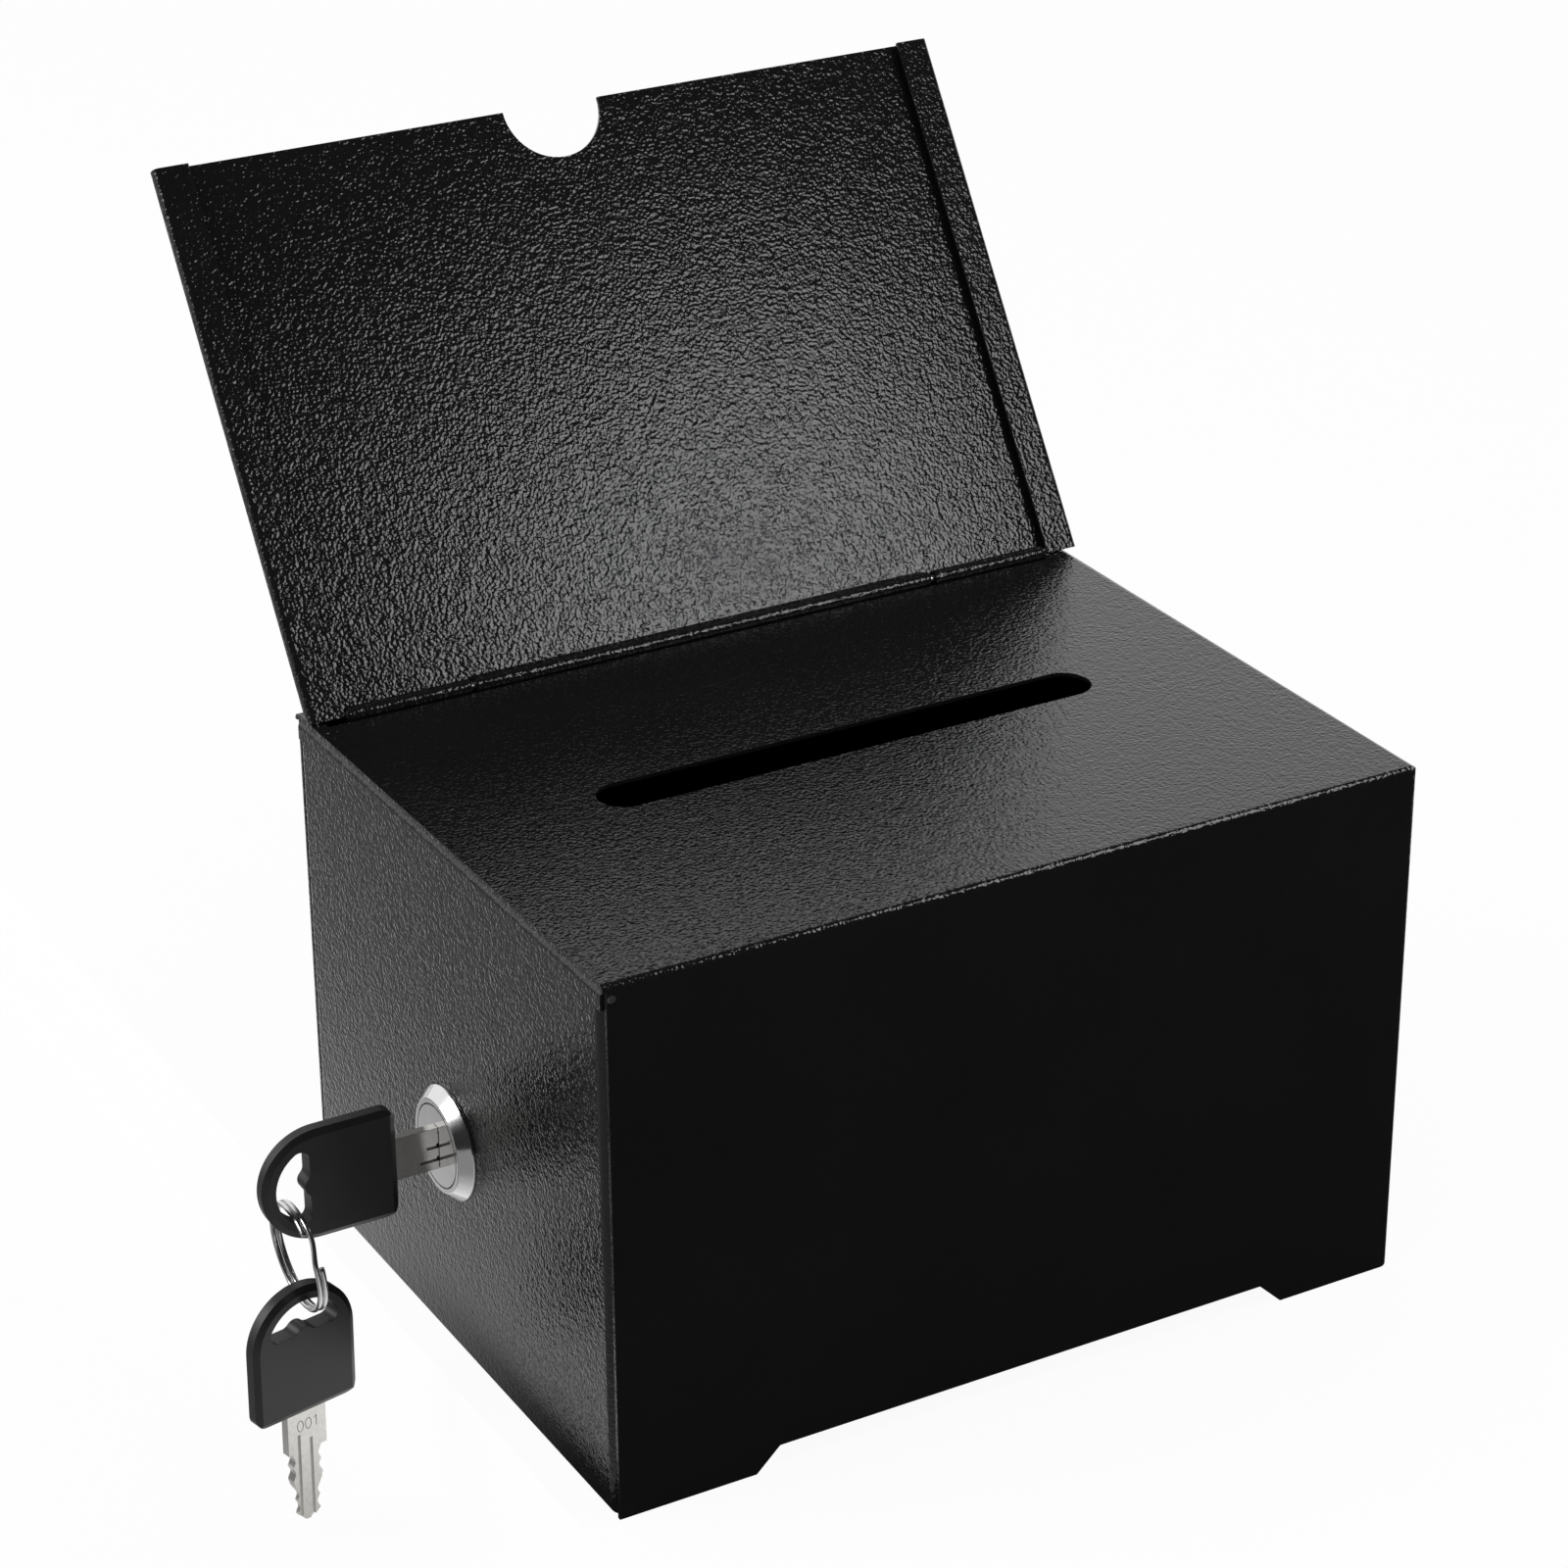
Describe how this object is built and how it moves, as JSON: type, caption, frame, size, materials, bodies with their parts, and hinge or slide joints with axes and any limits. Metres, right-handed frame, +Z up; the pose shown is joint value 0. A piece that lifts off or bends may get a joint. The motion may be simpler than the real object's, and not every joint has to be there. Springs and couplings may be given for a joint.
{
  "type": "suggestion box",
  "caption": "Lockable sheet steel suggestion box with a slotted top, a folding sign holder at the back, an end door with a cam lock, and keys on a split ring.",
  "frame": {"origin": "middle of the box's footprint, on the table it stands on", "axes": "+X along the front towards the closed end, -X out of the door and lock, -Y out of the front, +Z up"},
  "size_m": [0.2026, 0.1712, 0.2134],
  "materials": {
    "powder_coat": "black wrinkle powder coat, semi-gloss",
    "zinc_steel": "bright zinc plate",
    "bright_trim": "polished",
    "lock_brass": "machined",
    "spring_wire": "nickel-plated spring wire",
    "key_metal": "nickel-plated, milled",
    "key_plastic": "satin moulded"
  },
  "bodies": {
    "box": {"body_shell": "powder_coat", "bottom_plate": "powder_coat", "strike_bracket": "powder_coat", "door_hinge_pin": "zinc_steel", "header_hinge_leaf": "powder_coat", "header_hinge_pin": "zinc_steel"},
    "header": {"header_panel": "powder_coat"},
    "door": {"door_panel": "powder_coat", "lock_body": "zinc_steel", "lock_trim_cap": "bright_trim", "lock_washer": "zinc_steel", "lock_nut": "zinc_steel"},
    "plug": {"lock_plug": "lock_brass", "plug_cap": "bright_trim", "wafers": "lock_brass", "wafer_springs": "spring_wire", "stop_washer": "zinc_steel", "cam": "zinc_steel", "cam_washer": "zinc_steel", "cam_screw": "zinc_steel"},
    "key": {"key_blade": "key_metal", "key_head": "key_plastic"},
    "ring": {"split_ring": "spring_wire"},
    "spare_key": {"spare_key_blade": "key_metal", "spare_key_head": "key_plastic"}
  },
  "joints": [
    {"name": "header_fold", "type": "hinge", "parent": "box", "child": "header", "pos_m": [0, 0.0522, 0.1023], "axis": [1, 0, 0], "range_deg": [0, 123.6]},
    {"name": "door_swing", "type": "hinge", "parent": "box", "child": "door", "pos_m": [-0.0784, 0, 0.099], "axis": [0, 1, 0], "range_deg": [0, 90]},
    {"name": "key_turn", "type": "hinge", "parent": "door", "child": "plug", "pos_m": [-0.0705, 0.001, 0.0426], "axis": [1, 0, 0], "range_deg": [0, 90]},
    {"name": "key_pull", "type": "slide", "parent": "plug", "child": "key", "axis": [-1, 0, 0], "range_m": [0, 0.0165]},
    {"name": "ring_swing", "type": "hinge", "parent": "key", "child": "ring", "pos_m": [-0.11038, 0.001, 0.03835], "axis": [0, 1, 0], "range_deg": [-8, 95]},
    {"name": "spare_swing", "type": "hinge", "parent": "ring", "child": "spare_key", "pos_m": [-0.10869, 0.001, 0.01902], "axis": [-0.2079, 0.9781, 0], "range_deg": [-45, 20]}
  ]
}
